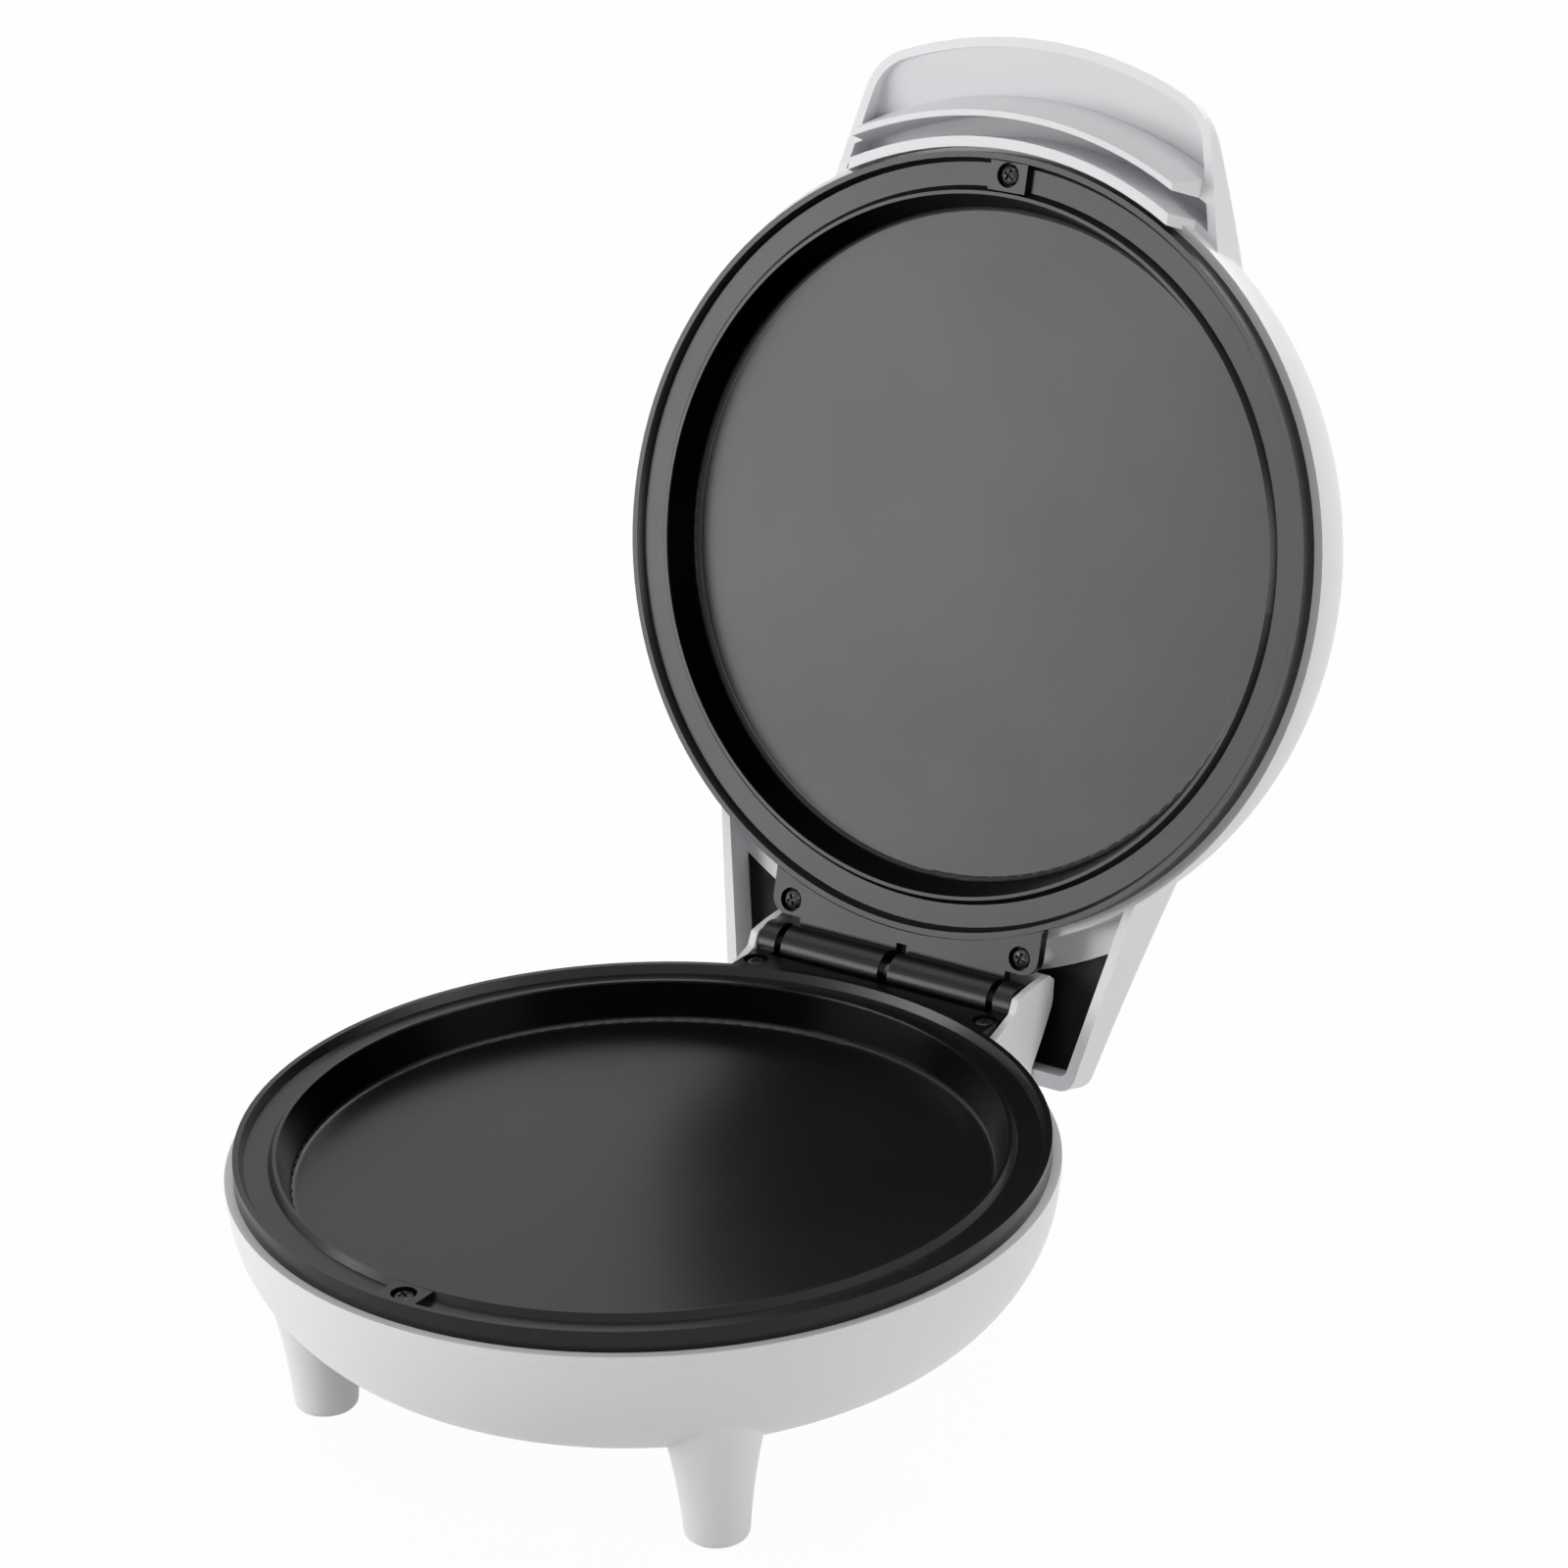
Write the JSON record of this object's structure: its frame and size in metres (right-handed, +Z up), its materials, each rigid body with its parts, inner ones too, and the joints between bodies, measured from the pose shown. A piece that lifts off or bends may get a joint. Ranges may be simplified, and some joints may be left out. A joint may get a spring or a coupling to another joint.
{
  "type": "electric pizza maker",
  "caption": "Round countertop pizza maker with a shallow coated pan in each half, a scooped front handle, four moulded legs and a lid that lies back on a rear hinge.",
  "frame": {"origin": "the middle of the footprint of the whole object with its lid laid back, on the table", "axes": "+Z up; -Y is the front, where the handle lies when the lid is shut; +X is to the right seen from the front; the hinge runs along X"},
  "size_m": [0.225, 0.339, 0.3236],
  "materials": {
    "white_shell": "white glossy moulded plastic",
    "coated_plate": "cast aluminium with a dark grey non-stick coat",
    "black_screw": "blackened steel",
    "rubber_foot": "black rubber",
    "steel_pin": "plain steel",
    "steel_sheath": "annealed steel sheath",
    "zinc_strip": "zinc plated strip",
    "bright_sheet": "bright rolled sheet",
    "switch_metal": "plain metal capsule",
    "black_plastic": "black moulded plastic",
    "pale_nylon": "natural nylon",
    "red_lens": "clear red plastic",
    "green_lens": "clear green plastic",
    "lamp_glass": "clear glass lamp"
  },
  "bodies": {
    "base": {"base_shell": "white_shell", "foot_pads": "rubber_foot", "base_plate": "coated_plate", "base_plate_screws": "black_screw", "hinge_pin": "steel_pin", "base_heating_element": "steel_sheath", "element_clamps_base": "zinc_strip", "base_reflector": "bright_sheet", "thermostat": "switch_metal", "thermal_fuse": "switch_metal", "cord_gland": "black_plastic", "terminal_block": "pale_nylon"},
    "lid": {"lid_shell": "white_shell", "lid_plate": "coated_plate", "lid_plate_screws": "black_screw", "lid_heating_element": "steel_sheath", "element_clamps_lid": "zinc_strip", "lid_reflector": "bright_sheet", "lid_cutout": "switch_metal", "lid_wire_cover": "black_plastic", "power_lens": "red_lens", "ready_lens": "green_lens", "lamp_holder": "pale_nylon", "indicator_lamps": "lamp_glass"}
  },
  "joints": [
    {"name": "lid_hinge", "type": "hinge", "parent": "base", "child": "lid", "pos_m": [0, 0.06547, 0.0728], "axis": [1, 0, 0], "range_deg": [0, 106]}
  ]
}
